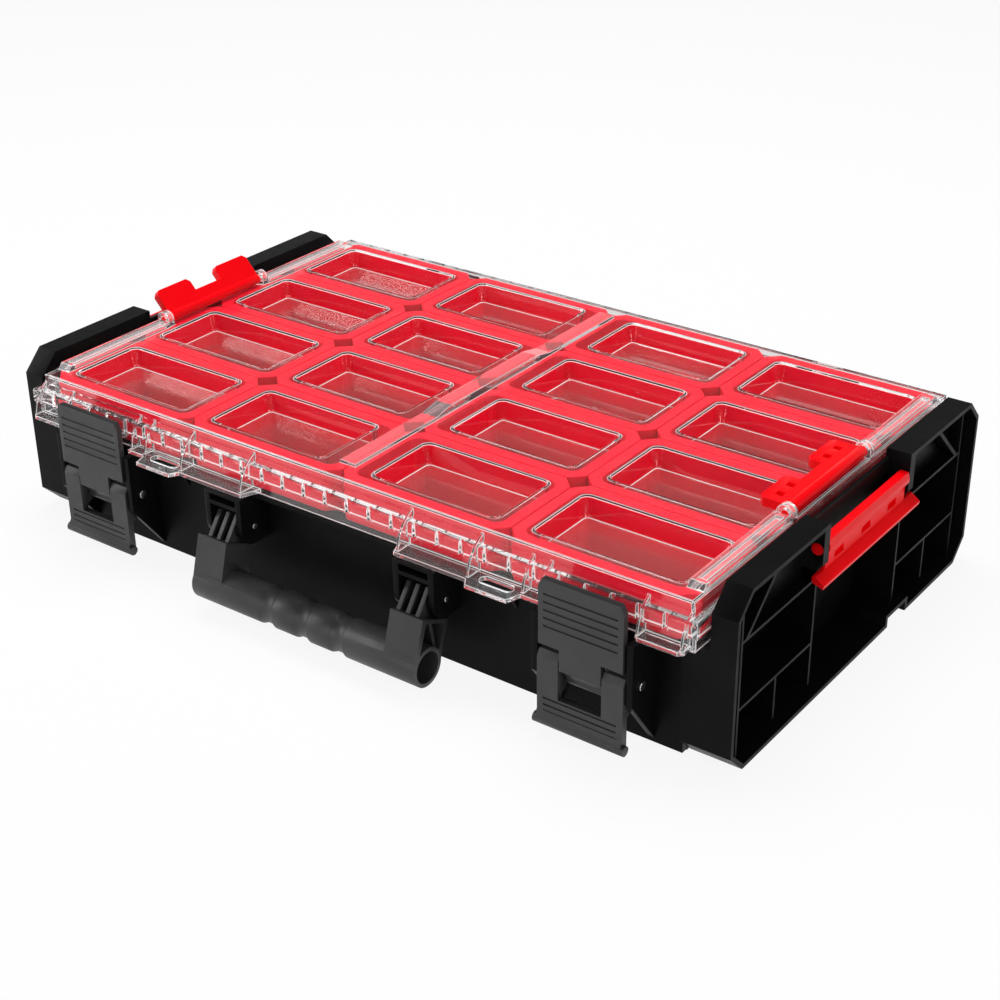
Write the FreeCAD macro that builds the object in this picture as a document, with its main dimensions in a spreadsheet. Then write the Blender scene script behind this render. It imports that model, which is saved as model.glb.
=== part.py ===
import FreeCAD, Part
import Sketcher
import os
import re

# Organiser case: a black tub with ribbed end frames, sixteen loose red bins, a clear hinged lid,
# two draw latches, a carry handle, and two pairs of stacking clips.
# X runs along the front, Y from front to back, Z up from the surface the case stands on.

COLUMNS = 4
ROWS = 4

# Driving dimensions in millimetres, with angles in degrees
SIZES = {
    # Bins: identical tapered cups with a wide flat rim, an outer skirt and cut corners
    "bin_pitch_x": 131.8,
    "bin_pitch_y": 81.8,
    "bin_gap": 0.6,
    "bin_rim": 8.2,
    "bin_wall": 1.8,
    "bin_draft": 2,
    "bin_corner": 9,
    "bin_radius": 7,
    "bin_play": 0.4,
    "seat_gap": 0.3,
    # Tub and rim ledge
    "foot_height": 4,
    "foot_start": 128,
    "foot_inset": 9,
    "centre_foot": 80,
    "floor_thick": 3,
    "base_wall": 2.2,
    "ledge_top": 84,
    "ledge_thick": 3,
    "ledge_reach": 13,
    "gusset_drop": 22,
    "rib_thick": 2,
    "plaque_width": 87,
    "plaque_height": 32,
    "plaque_drop": 7,
    "plaque_proud": 1.6,
    "plaque_radius": 6,
    # Ribbed end frames
    "frame_depth": 17.2,
    "frame_proud": 3.5,
    "frame_top": 123,
    "frame_bevel": 15,
    "frame_low_bevel": 15,
    "frame_wall": 3,
    "frame_gap": 1.9,
    "rail_top": 117,
    "rib_setback": 5,
    "shelf_height": 40,
    "notch_start": 44,
    "notch_width": 26,
    "notch_height": 7,
    # Lid
    "lid_top": 114.8,
    "lid_wall": 2.2,
    "lid_gap": 0.7,
    "lid_flare": 4.3,
    "shoulder_drop": 6.8,
    "tooth_low": 95,
    "tooth_height": 10,
    "tooth_proud": 2.6,
    "tooth_pitch": 18,
    "tooth_slot": 2.6,
    "pocket_x": 106.2,
    "pocket_y": 57.8,
    "pocket_depth": 15,
    "pocket_draft": 11,
    "pocket_radius": 6,
    "pocket_wall": 1.4,
    "spine_half": 20.3,
    "spine_width": 13,
    "spine_rise": 2.2,
    "spine_crown": 5.4,
    "spine_length": 300,
    "crown_length": 100,
    "rail_width": 11,
    "rail_rise": 4.2,
    "lip_lift": 1.5,
    "lip_thick": 3,
    "lip_reach": 13.7,
    "eye_reach": 6,
    "eye_width": 37.5,
    "eye_slot": 7,
    "eye_x": 138.5,
    "lip_step": 4,
    "tab_reach": 10,
    "tab_inset": 2.8,
    "fin_thick": 1.8,
    "fin_radius": 26.5,
    # Draw latches
    "latch_x": 203.7,
    "latch_half": 30.3,
    "latch_reach": 15.7,
    "latch_side_gap": 0.7,
    "cheek_thick": 4.5,
    "cheek_low": 43,
    "lever_top": 60,
    "lever_low": 8,
    "lever_thick": 5,
    "window_half": 15.3,
    "bead_radius": 3.4,
    "bead_wide": 2,
    "latch_pin_in": 11.5,
    "latch_pin_z": 53,
    "latch_pin_radius": 2,
    "link_drop": 12,
    "link_pin_radius": 2.2,
    "link_radius": 4.4,
    "plate_top": 109,
    "plate_low": 64.3,
    "plate_thick": 4.5,
    "plate_gap": 0.6,
    "tongue_low": 50,
    "catch_low": 91.5,
    "catch_height": 4,
    "catch_reach": 5.5,
    "hook_bite": 2.6,
    "hook_height": 3.6,
    "groove_high": 1.3,
    "groove_deep": 0.9,
    "plate_groove_low": 77,
    "plate_groove_pitch": 5.4,
    "lever_groove_low": 17.4,
    "lever_groove_pitch": 4.6,
    # Carry handle and its brackets
    "bracket_x": 80,
    "bracket_half": 11.5,
    "bracket_radius": 12.4,
    "bracket_shelf": 3,
    "pivot_out": 14.5,
    "pivot_drop": 24,
    "handle_pin_radius": 2,
    "handle_half": 94.7,
    "arm_width": 25.5,
    "arm_shell": 2.6,
    "arm_front": 22.3,
    "arm_drop": 4.9,
    "arm_back": 3.3,
    "arm_back_drop": 15.8,
    "grip_out": 19,
    "grip_drop": 40.5,
    "grip_radius": 13.5,
    "grip_bore": 10.8,
    "scallop_depth": 1.8,
    "scallop_pitch": 30,
    "fin_pitch": 7.5,
    "handle_fin": 3,
    # Rear hinge
    "hinge_x": 170,
    "hinge_out": 10.5,
    "hinge_rise": 12.3,
    "knuckle_radius": 6,
    "knuckle_width": 12,
    "hinge_pin_radius": 2,
    # Clips
    "clip_inset": 5,
    "clip_rise": 4.2,
    "clip_half": 48,
    "clip_bar": 4,
    "clip_reach": 21.5,
    "clip_tab": 34.5,
    "clip_web": 11,
    "clip_thick": 6,
    "clip_turn": 132,
    "lug_thick": 6,
    "lug_radius": 6,
    "trunnion_radius": 2.4,
    "side_clip_half": 54,
    "side_clip_inset": 4.5,
    "side_clip_z": 106.5,
    "side_clip_bar": 4,
    "side_clip_drop": 23,
    "side_clip_flange": 66,
    "side_clip_sink": 2.6,
    "side_clip_hole": 36,
    "ear_thick": 7,
    "ear_low": 92,
    "ear_top": 120.5,
    # Clearances
    "run_gap": 0.2,
    "pin_fit": 0.02,
    "part_gap": 0.4,
}

doc = FreeCAD.newDocument("organiser_case")
sheet = doc.addObject("Spreadsheet::Sheet", "dims")
for row, (name, size) in enumerate(SIZES.items(), 1):
    sheet.set(f"A{row}", name)
    sheet.set(f"B{row}", str(size))
    sheet.setAlias(f"B{row}", name)
doc.recompute()


# Helpers for sketches and features

def bind(text):
    """An expression with each dimension's name written as a reference to the sheet."""
    def refer(word):
        return f"dims.{word[0]}" if word[0] in SIZES else word[0]
    return re.sub(r"[a-z]\w+", refer, str(text))


def number(text):
    """The value of an expression, in millimetres."""
    return float(sheet.evalExpression(bind(text)))


def new_body(name):
    return doc.addObject("PartDesign::Body", name)


def origin_feature(body, role):
    return next(item for item in body.Origin.OriginFeatures if item.Role == role)


def new_sketch(body, plane, offset="0"):
    """A sketch on an origin plane of its body, moved along the plane's normal."""
    sketch = body.newObject("Sketcher::SketchObject", f"{body.Name}_sketch")
    sketch.AttachmentSupport = [(origin_feature(body, plane), "")]
    sketch.MapMode = "FlatFace"
    sketch.setExpression("AttachmentOffset.Base.z", bind(offset))
    return sketch


def fix(sketch, piece, end, across, up):
    """Hold one sketch point by two dimensions from the sketch's origin."""
    for kind, text in (("DistanceX", across), ("DistanceY", up)):
        index = sketch.addConstraint(Sketcher.Constraint(kind, -1, 1, piece, end, number(text)))
        sketch.setExpression(f"Constraints[{index}]", bind(text))


def outline(sketch, points):
    """A closed loop through (across, up) points; a point that also has an arc, given as
    (centre across, centre up, radius), goes to the next point along that arc."""
    spots = [FreeCAD.Vector(number(point[0]), number(point[1]), 0) for point in points]
    ends = []
    for step, point in enumerate(points):
        here = spots[step]
        there = spots[(step + 1) % len(points)]
        if len(point) == 2:
            ends.append((sketch.addGeometry(Part.LineSegment(here, there)), 1, 2))
            continue
        across, up, radius = point[2]
        middle = FreeCAD.Vector(number(across), number(up), 0)
        circle = Part.Circle(middle, FreeCAD.Vector(0, 0, 1), number(radius))
        forward = (here - middle).cross(there - middle).z > 0
        begin, finish = (here, there) if forward else (there, here)
        arc = Part.ArcOfCircle(circle, circle.parameter(begin), circle.parameter(finish))
        piece = sketch.addGeometry(arc)
        index = sketch.addConstraint(Sketcher.Constraint("Radius", piece, number(radius)))
        sketch.setExpression(f"Constraints[{index}]", bind(radius))
        ends.append((piece, 1, 2) if forward else (piece, 2, 1))
    for step, point in enumerate(points):
        piece, begin, _ = ends[step]
        before, _, finish = ends[step - 1]
        sketch.addConstraint(Sketcher.Constraint("Coincident", before, finish, piece, begin))
        fix(sketch, piece, begin, point[0], point[1])
    return sketch


def rectangle(sketch, left, right, low, high):
    return outline(sketch, [(left, low), (right, low), (right, high), (left, high)])


def rounded(sketch, left, right, low, high, radius):
    """A rectangle whose four corners are quarter circles of one radius."""
    radius = f"({radius})"
    first = sketch.GeometryCount
    x0, x1, y0, y1, r = (number(text) for text in (left, right, low, high, radius))
    corners = [(x1 - r, y0 + r, 270), (x1 - r, y1 - r, 0), (x0 + r, y1 - r, 90), (x0 + r, y0 + r, 180)]
    rad = FreeCAD.Units.Quantity("1 deg").getValueAs("rad").Value
    for x, y, start in corners:
        circle = Part.Circle(FreeCAD.Vector(x, y, 0), FreeCAD.Vector(0, 0, 1), r)
        sketch.addGeometry(Part.ArcOfCircle(circle, start * rad, (start + 90) * rad))
    for step in range(4):
        begin = sketch.Geometry[first + step].EndPoint
        finish = sketch.Geometry[first + (step + 1) % 4].StartPoint
        line = sketch.addGeometry(Part.LineSegment(begin, finish))
        sketch.addConstraint(Sketcher.Constraint("Tangent", first + step, 2, line, 1))
        sketch.addConstraint(Sketcher.Constraint("Tangent", line, 2, first + (step + 1) % 4, 1))
    for step in range(1, 4):
        sketch.addConstraint(Sketcher.Constraint("Equal", first, first + step))
    index = sketch.addConstraint(Sketcher.Constraint("Radius", first, r))
    sketch.setExpression(f"Constraints[{index}]", bind(radius))
    fix(sketch, first, 3, f"{right} - {radius}", f"{low} + {radius}")
    fix(sketch, first + 2, 3, f"{left} + {radius}", f"{high} - {radius}")
    sketch.addConstraint(Sketcher.Constraint("Horizontal", first + 5))
    sketch.addConstraint(Sketcher.Constraint("Vertical", first + 4))
    return sketch


def ring(sketch, across, up, radius):
    """A circle held by its centre and radius."""
    spot = FreeCAD.Vector(number(across), number(up), 0)
    circle = sketch.addGeometry(Part.Circle(spot, FreeCAD.Vector(0, 0, 1), number(radius)))
    index = sketch.addConstraint(Sketcher.Constraint("Radius", circle, number(radius)))
    sketch.setExpression(f"Constraints[{index}]", bind(radius))
    fix(sketch, circle, 3, across, up)
    return sketch


def extrude(body, kind, sketch, length, back=False, both=False, draft=None):
    """A pad or pocket of a sketch, with its length and draft bound to expressions."""
    feature = body.newObject(f"PartDesign::{kind}", f"{body.Name}_{kind.lower()}")
    feature.Profile = sketch
    feature.setExpression("Length", bind(length))
    feature.Reversed = back
    feature.Refine = False
    if both:
        feature.SideType = "Symmetric"
    if draft:
        feature.setExpression("TaperAngle", bind(draft))
    return feature


def pad(body, sketch, length, **options):
    return extrude(body, "Pad", sketch, length, **options)


def pocket(body, sketch, length, **options):
    return extrude(body, "Pocket", sketch, length, **options)


def row_of(body, features, axis, spacing, count):
    """Copies of features along an origin axis of their body."""
    pattern = body.newObject("PartDesign::LinearPattern", f"{body.Name}_row")
    pattern.Originals = features
    pattern.Direction = (origin_feature(body, axis), [""])
    pattern.Mode = "Spacing"
    pattern.setExpression("Offset", bind(spacing))
    pattern.setExpression("Occurrences", bind(count))
    pattern.Refine = False
    body.Tip = pattern
    return pattern


def mirror(body):
    """The whole body once more, on the other side of the middle plane across the case."""
    mirrored = body.newObject("PartDesign::Mirrored", f"{body.Name}_mirror")
    mirrored.TransformMode = "Whole shape"
    mirrored.MirrorPlane = (origin_feature(body, "YZ_Plane"), [""])
    mirrored.Refine = False
    body.Tip = mirrored
    return mirrored


def place(label, form, x="0", y="0", z="0", flip=0, turn="0"):
    """A copy of a finished form as its own piece: flipped about Z, turned about Y, then moved."""
    piece = doc.addObject("Part::Feature", label)
    piece.Shape = form.Shape.copy()
    spin = FreeCAD.Rotation(FreeCAD.Vector(0, 1, 0), number(turn))
    spin = spin.multiply(FreeCAD.Rotation(FreeCAD.Vector(0, 0, 1), flip))
    piece.Placement = FreeCAD.Placement(FreeCAD.Vector(), spin)
    for axis, text in zip("xyz", (x, y, z)):
        piece.setExpression(f"Placement.Base.{axis}", bind(text))
    return piece


# Places worked out from the driving dimensions

half_x = f"({COLUMNS} * bin_pitch_x / 2)"
half_y = f"({ROWS} * bin_pitch_y / 2)"
floor_top = "(foot_height + floor_thick)"
bin_bottom = f"({floor_top} + seat_gap)"
lid_low = "(ledge_top + seat_gap)"
plate_under = "(lid_top - lid_wall)"
rim_top = f"({plate_under} - seat_gap)"
cup_inset = f"(bin_gap / 2 + bin_rim - bin_wall + ({rim_top} - ledge_top) * tan(bin_draft))"
tub_in_x = f"({half_x} - {cup_inset} + bin_play)"
tub_in_y = f"({half_y} - {cup_inset} + bin_play)"
tub_x = f"({tub_in_x} + base_wall)"
tub_y = f"({tub_in_y} + base_wall)"
ledge_y = f"({tub_y} + ledge_reach)"
edge_x = f"({half_x} + lid_gap + lid_wall)"
edge_y = f"({half_y} + lid_gap + lid_wall)"
skirt_x = f"({edge_x} + lid_flare)"
skirt_y = f"({edge_y} + lid_flare)"
frame_in = f"({skirt_x} + tooth_proud + frame_gap)"
frame_out = f"({frame_in} + frame_depth)"
frame_y = f"({tub_y} + frame_proud)"
latch_face = f"({skirt_y} + latch_reach)"
latch_pin_y = f"({latch_face} - latch_pin_in)"
link_z = "(latch_pin_z - link_drop)"
pivot_y = f"({tub_y} + pivot_out)"
pivot_z = "(ledge_top - pivot_drop)"
grip_y = f"({pivot_y} + grip_out)"
grip_z = f"({pivot_z} - grip_drop)"
hinge_y = f"({skirt_y} + hinge_out)"
hinge_z = "(ledge_top + hinge_rise)"
clip_x = f"({edge_x} - clip_inset)"
clip_z = "(lid_top + clip_rise)"
side_clip_x = f"({frame_out} - side_clip_inset)"


# Bin: a cup hung from a flat rim, with a skirt folded down round the rim

def octagon(sketch, half_long, half_wide, cut):
    """A rectangle about the origin with its corners cut off."""
    return outline(sketch, [
        (f"-({half_long}) + {cut}", f"-({half_wide})"), (f"{half_long} - {cut}", f"-({half_wide})"),
        (half_long, f"-({half_wide}) + {cut}"), (half_long, f"{half_wide} - {cut}"),
        (f"{half_long} - {cut}", half_wide), (f"-({half_long}) + {cut}", half_wide),
        (f"-({half_long})", f"{half_wide} - {cut}"), (f"-({half_long})", f"-({half_wide}) + {cut}")])


bin_half_x = "((bin_pitch_x - bin_gap) / 2)"
bin_half_y = "((bin_pitch_y - bin_gap) / 2)"


def cup_outline(sketch, inset):
    across = f"({bin_half_x} - {inset})"
    deep = f"({bin_half_y} - {inset})"
    return rounded(sketch, f"-{across}", across, f"-{deep}", deep, "bin_radius")


bin_form = new_body("bin_form")
rim = octagon(new_sketch(bin_form, "XY_Plane", lid_low), bin_half_x, bin_half_y, "bin_corner")
pad(bin_form, rim, f"{rim_top} - {lid_low}")
hollow = octagon(new_sketch(bin_form, "XY_Plane", lid_low),
                 f"({bin_half_x} - bin_wall)", f"({bin_half_y} - bin_wall)", "bin_corner")
pocket(bin_form, hollow, f"{rim_top} - {lid_low} - bin_wall", back=True)
cup = cup_outline(new_sketch(bin_form, "XY_Plane", rim_top), "(bin_rim - bin_wall)")
pad(bin_form, cup, f"{rim_top} - {bin_bottom}", back=True, draft="-bin_draft")
well = cup_outline(new_sketch(bin_form, "XY_Plane", rim_top), "bin_rim")
pocket(bin_form, well, f"{rim_top} - {bin_bottom} - bin_wall", draft="-bin_draft")


# Base: tub, floor, feet and rim ledge

base = new_body("case_base")
tub = rectangle(new_sketch(base, "XY_Plane", "foot_height"), f"-{tub_x}", tub_x, f"-{tub_y}", tub_y)
pad(base, tub, "ledge_top - foot_height")
ledge = new_sketch(base, "XY_Plane", "ledge_top - ledge_thick")
rectangle(ledge, f"-{tub_x}", tub_x, f"-{ledge_y}", ledge_y)
pad(base, ledge, "ledge_thick")
plaque = new_sketch(base, "XZ_Plane", tub_y)
plaque_high = "(ledge_top - plaque_drop)"
rounded(plaque, "-plaque_width / 2", "plaque_width / 2",
        f"{plaque_high} - plaque_height", plaque_high, "plaque_radius")
pad(base, plaque, "plaque_proud")

centre = new_sketch(base, "XY_Plane")
rectangle(centre, "-centre_foot / 2", "centre_foot / 2", "-centre_foot / 2", "centre_foot / 2")
pad(base, centre, "foot_height + floor_thick / 2")

# Features of the right half of the base, which are mirrored to the left
foot = new_sketch(base, "XY_Plane")
rectangle(foot, "foot_start", f"{tub_x} - base_wall", f"-{tub_y} + foot_inset", f"{tub_y} - foot_inset")
pad(base, foot, "foot_height + floor_thick / 2")


# Base: end frame, an outline with a hollow outer side

frame = outline(new_sketch(base, "YZ_Plane", f"{tub_x} - base_wall / 2"), [
    (f"-{frame_y}", "frame_low_bevel"), (f"-{frame_y} + frame_low_bevel", "0"),
    ("notch_start", "0"), ("notch_start", "notch_height"),
    ("notch_start + notch_width", "notch_height"), ("notch_start + notch_width", "0"),
    (f"{frame_y} - frame_low_bevel", "0"), (frame_y, "frame_low_bevel"),
    (frame_y, "frame_top - frame_bevel"), (f"{frame_y} - frame_bevel", "frame_top"),
    (f"-{frame_y} + frame_bevel", "frame_top"), (f"-{frame_y}", "frame_top - frame_bevel")])
pad(base, frame, f"{frame_out} - {tub_x} + base_wall / 2")

low_corner = "(frame_low_bevel + frame_wall * 0.41)"
high_corner = "(frame_bevel + frame_wall * 0.41)"
frame_side = f"({frame_y} - frame_wall)"
notch_left = "(notch_start - frame_wall)"
notch_right = "(notch_start + notch_width + frame_wall)"
notch_roof = "(notch_height + frame_wall)"
lower_half = [
    (f"-{frame_side}", low_corner), (f"-{frame_y} + {low_corner}", "frame_wall"),
    (notch_left, "frame_wall"), (notch_left, notch_roof),
    (notch_right, notch_roof), (notch_right, "frame_wall"),
    (f"{frame_y} - {low_corner}", "frame_wall"), (frame_side, low_corner)]
ledge_under = "(ledge_top - ledge_thick)"
deep = outline(new_sketch(base, "YZ_Plane", frame_out),
               lower_half + [(frame_side, ledge_under), (f"-{frame_side}", ledge_under)])
pocket(base, deep, f"{frame_out} - {tub_x}")
shallow = outline(new_sketch(base, "YZ_Plane", frame_out), lower_half + [
    (frame_side, f"frame_top - {high_corner}"), (f"{frame_y} - {high_corner}", "frame_top - frame_wall"),
    (f"-{frame_y} + {high_corner}", "frame_top - frame_wall"),
    (f"-{frame_side}", f"frame_top - {high_corner}")])
pocket(base, shallow, "frame_depth - frame_wall")


# Base: ribs standing in the hollow side of the end frame

ear_y = "(side_clip_half + part_gap)"
side_rib = f"({frame_y} - frame_bevel)"
bay_rib = f"({ear_y} + ear_thick / 2)"
mid_rib = f"(({side_rib} + {bay_rib}) / 2)"
rib_length = f"{frame_out} - rib_setback - {tub_x} + base_wall / 2"


def rib_sketch():
    return new_sketch(base, "YZ_Plane", f"{tub_x} - base_wall / 2")


def upright(sketch, y, low, high):
    return rectangle(sketch, f"{y} - rib_thick / 2", f"{y} + rib_thick / 2", low, high)


uprights = rib_sketch()
for side in ("-", ""):
    upright(uprights, f"{side}{side_rib}", "frame_wall / 2", "frame_top - frame_wall / 2")
    upright(uprights, f"{side}{bay_rib}", f"{notch_roof} - frame_wall / 2", "ear_low + rib_thick")
    upright(uprights, f"{side}{mid_rib}", f"{notch_roof} - frame_wall / 2", "shelf_height")
pad(base, uprights, rib_length)
shelves = rib_sketch()
for side in ("-", ""):
    for level in ("shelf_height", "(ledge_top + rib_thick)"):
        near = f"{side}{bay_rib}"
        far = f"{side}{side_rib}"
        low, high = (far, near) if side else (near, far)
        rectangle(shelves, low, high, f"{level} - rib_thick", level)
pad(base, shelves, rib_length)
slants = rib_sketch()
for side in ("-", ""):
    outline(slants, [
        (f"{side}({mid_rib} - rib_thick)", "frame_top - frame_wall / 2"),
        (f"{side}({mid_rib} + rib_thick)", "frame_top - frame_wall / 2"),
        (f"{side}({side_rib} - rib_thick)", "ledge_top"),
        (f"{side}({side_rib} - 3 * rib_thick)", "ledge_top")])
pad(base, slants, rib_length)


# Base: ears for the side clip, with the rail between them cut low

gap = new_sketch(base, "YZ_Plane", frame_out)
rectangle(gap, f"-{ear_y}", ear_y, "rail_top", "frame_top + frame_wall")
pocket(base, gap, "frame_depth")
for side in (1, -1):
    ear = outline(new_sketch(base, "XZ_Plane", f"{side} * {ear_y}"), [
        (f"{frame_in} + frame_wall / 2", "ear_low"), (f"{frame_out} - side_clip_inset", "ear_low"),
        (frame_out, "ear_low + side_clip_inset"), (frame_out, "ear_top"),
        (f"{frame_in} + frame_wall / 2", "ear_top")])
    ring(ear, side_clip_x, "side_clip_z", "side_clip_bar + run_gap")
    pad(base, ear, "ear_thick", back=side < 0)


# Base: cheeks either side of the latch

cheek_front = f"({latch_face} - cheek_thick / 3)"
cheek_root = f"({tub_y} - base_wall / 2)"
for side in (1, -1):
    cheek = new_sketch(base, "YZ_Plane", f"latch_x + {side} * (latch_half + latch_side_gap)")
    outline(cheek, [
        (f"-{cheek_root}", "ledge_top"), (f"-{cheek_front}", "ledge_top"), (f"-{cheek_front}", "cheek_low"),
        (f"-{tub_y}", "foot_height + floor_thick"), (f"-{cheek_root}", "foot_height + floor_thick")])
    ring(cheek, f"-{latch_pin_y}", "latch_pin_z", "latch_pin_radius + pin_fit")
    pad(base, cheek, "cheek_thick", back=side < 0)


# Base: handle bracket, rounded about the handle's pivot, with a slot and a shelf

bracket_wide = "(2 * bracket_half + 2 * cheek_thick)"
bracket_front = f"({pivot_y} + bracket_radius)"
bracket = outline(new_sketch(base, "YZ_Plane", "bracket_x"), [
    (f"-{cheek_root}", "ledge_top"), (f"-{bracket_front}", "ledge_top"),
    (f"-{bracket_front}", pivot_z, (f"-{pivot_y}", pivot_z, "bracket_radius")),
    (f"-{pivot_y}", f"{pivot_z} - bracket_radius"), (f"-{cheek_root}", f"{pivot_z} - bracket_radius")])
pad(base, bracket, bracket_wide, both=True)
shelf_low = f"({pivot_z} + bracket_radius + 2)"
slot = new_sketch(base, "XZ_Plane", bracket_front)
rectangle(slot, "bracket_x - bracket_half", "bracket_x + bracket_half",
          f"{pivot_z} - bracket_radius - 1", shelf_low)
pocket(base, slot, f"{bracket_front} - {tub_y}")
recess = new_sketch(base, "XZ_Plane", bracket_front)
rectangle(recess, "bracket_x - bracket_half", "bracket_x + bracket_half",
          f"{shelf_low} + bracket_shelf", "ledge_top - rib_thick")
pocket(base, recess, "bracket_radius")
bore = ring(new_sketch(base, "YZ_Plane", "bracket_x"), f"-{pivot_y}", pivot_z,
            "handle_pin_radius + pin_fit")
pocket(base, bore, f"{bracket_wide} + 2", both=True)


# Base: gussets under the ledge, in front and behind

for end, spots in (("-", ("eye_x",)), ("", ("hinge_x - 60", "hinge_x + 50"))):
    for spot in spots:
        gusset = outline(new_sketch(base, "YZ_Plane", spot), [
            (f"{end}{cheek_root}", ledge_under), (f"{end}({ledge_y} - rib_thick)", ledge_under),
            (f"{end}{cheek_root}", f"{ledge_under} - gusset_drop")])
        pad(base, gusset, "rib_thick", both=True)


# Base: rear hinge bracket with a slot for the lid's knuckle

knuckle_arc = (hinge_y, hinge_z, "knuckle_radius")
hinge = outline(new_sketch(base, "YZ_Plane", "hinge_x"), [
    (cheek_root, f"{ledge_under} - gusset_drop"), (f"{hinge_y} + knuckle_radius", hinge_z, knuckle_arc),
    (hinge_y, f"{hinge_z} + knuckle_radius", knuckle_arc), (f"{hinge_y} - knuckle_radius", hinge_z),
    (f"{hinge_y} - knuckle_radius", "ledge_top"), (cheek_root, "ledge_top")])
ring(hinge, hinge_y, hinge_z, "hinge_pin_radius + pin_fit")
pad(base, hinge, "4 * knuckle_width", both=True)
hinge_back = f"({hinge_y} + 2 * knuckle_radius)"
slot = new_sketch(base, "XZ_Plane", f"-{hinge_back}")
rectangle(slot, "hinge_x - knuckle_width", "hinge_x + knuckle_width",
          f"{hinge_z} - 2 * knuckle_radius", f"{hinge_z} + 2 * knuckle_radius")
pocket(base, slot, f"{hinge_back} - {ledge_y}", back=True)

# Base: the left half, then the space for the lid between the frames and the space for the bins
mirror(base)
space = new_sketch(base, "XY_Plane", "ledge_top")
rectangle(space, f"-{frame_in}", frame_in, f"-{frame_y} - frame_proud", f"{frame_y} + frame_proud")
pocket(base, space, "frame_top", back=True)
well = new_sketch(base, "XY_Plane", "ledge_top")
rectangle(well, f"-{tub_in_x}", tub_in_x, f"-{tub_in_y}", tub_in_y)
pocket(base, well, f"ledge_top - {floor_top}")


# Lid: a flared shell, open below

lid = new_body("lid")
shoulder = "(lid_top - shoulder_drop)"
levels = [(lid_low, skirt_x, skirt_y), ("tooth_low", skirt_x, skirt_y),
          (shoulder, edge_x, edge_y), ("lid_top", edge_x, edge_y)]
sections = [rectangle(new_sketch(lid, "XY_Plane", z), f"-{x}", x, f"-{y}", y) for z, x, y in levels]
shell = lid.newObject("PartDesign::AdditiveLoft", "lid_shell")
shell.Profile = sections[0]
shell.Sections = sections[1:]
shell.Ruled = True
doc.recompute()
bottom = min(range(len(shell.Shape.Faces)), key=lambda i: shell.Shape.Faces[i].CenterOfMass.z)
hollow = lid.newObject("PartDesign::Thickness", "lid_hollow")
hollow.Base = (shell, [f"Face{bottom + 1}"])
hollow.setExpression("Value", bind("lid_wall"))
hollow.Reversed = True

# Lid: band of rounded teeth round the flare
band = new_sketch(lid, "XY_Plane", "tooth_low")
rectangle(band, f"-{skirt_x} - tooth_proud", f"{skirt_x} + tooth_proud",
          f"-{skirt_y} - tooth_proud", f"{skirt_y} + tooth_proud")
rectangle(band, f"-{edge_x} - 1", f"{edge_x} + 1", f"-{edge_y} - 1", f"{edge_y} + 1")
teeth = pad(lid, band, "tooth_height")
doc.recompute()
tooth_top = number("tooth_low + tooth_height")
reach = [number(f"{skirt_x} + tooth_proud"), number(f"{skirt_y} + tooth_proud")]
crest = []
for index, edge in enumerate(teeth.Shape.Edges, 1):
    spot = edge.CenterOfMass
    outside = abs(abs(spot.x) - reach[0]) < 0.01 or abs(abs(spot.y) - reach[1]) < 0.01
    if outside and abs(spot.z - tooth_top) < 0.01:
        crest.append(f"Edge{index}")
soften = lid.newObject("PartDesign::Fillet", "lid_crest")
soften.Base = (teeth, crest)
soften.setExpression("Radius", bind("tooth_proud - part_gap"))

# Lid: raised spine along the middle
spine = outline(new_sketch(lid, "YZ_Plane"), [
    ("-spine_length / 2", "lid_top - lid_wall / 2"), ("spine_length / 2", "lid_top - lid_wall / 2"),
    ("spine_length / 2", "lid_top + spine_rise"),
    ("crown_length / 2 + 3 * spine_crown", "lid_top + spine_rise"),
    ("crown_length / 2", "lid_top + spine_crown"), ("-crown_length / 2", "lid_top + spine_crown"),
    ("-crown_length / 2 - 3 * spine_crown", "lid_top + spine_rise"),
    ("-spine_length / 2", "lid_top + spine_rise")])
pad(lid, spine, "spine_width", both=True)

# Lid: features of the right half, mirrored to the left
lip_low = "(ledge_top + lip_lift)"
lip_front = f"({skirt_y} + lip_reach)"
eye_front = f"({lip_front} + eye_reach)"
lip_root = f"({skirt_y} - lid_wall / 2)"
lip_start = "(bracket_x - bracket_half - cheek_thick)"
lip_end = "(latch_x - latch_half - 3 * part_gap)"
lip = outline(new_sketch(lid, "XY_Plane", lip_low), [
    (f"{lip_start} - eye_reach", f"-{lip_root}"), (lip_start, f"-{lip_front}"),
    ("eye_x - eye_width / 2", f"-{lip_front}"), ("eye_x - eye_width / 2 + eye_slot / 2", f"-{eye_front}"),
    ("eye_x + eye_width / 2 - eye_slot / 2", f"-{eye_front}"),
    ("eye_x + eye_width / 2", f"-{lip_front} + lip_step"),
    (lip_end, f"-{lip_front} + lip_step"), (lip_end, f"-{lip_root}")])
eye_mid = f"({lip_front} - 2 * lip_thick)"
rounded(lip, "eye_x - eye_width / 2 + eye_slot", "eye_x + eye_width / 2 - eye_slot",
        f"-{eye_mid} - eye_slot / 2", f"-{eye_mid} + eye_slot / 2", "eye_slot / 2 - 0.3")
pad(lid, lip, "lip_thick")
tab_start = "(latch_x + latch_half + 3 * part_gap)"
tab_front = f"({skirt_y} + tab_reach)"
tab_out = f"({skirt_x} - tab_inset)"
tab = outline(new_sketch(lid, "XY_Plane", lip_low), [
    (tab_start, f"-{lip_root}"), (tab_start, f"-{tab_front} + lip_thick"),
    (f"{tab_start} + lip_thick", f"-{tab_front}"),
    (f"{tab_out} - lip_thick", f"-{tab_front}"), (tab_out, f"-{tab_front} + lip_thick"),
    (tab_out, f"-{lip_root}")])
pad(lid, tab, "lip_thick")
set_back = f"({lip_front} - lip_step)"
fin_low = f"({lip_low} + lip_thick / 2)"
fin_back = f"({edge_y} - lid_wall / 2)"
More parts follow.
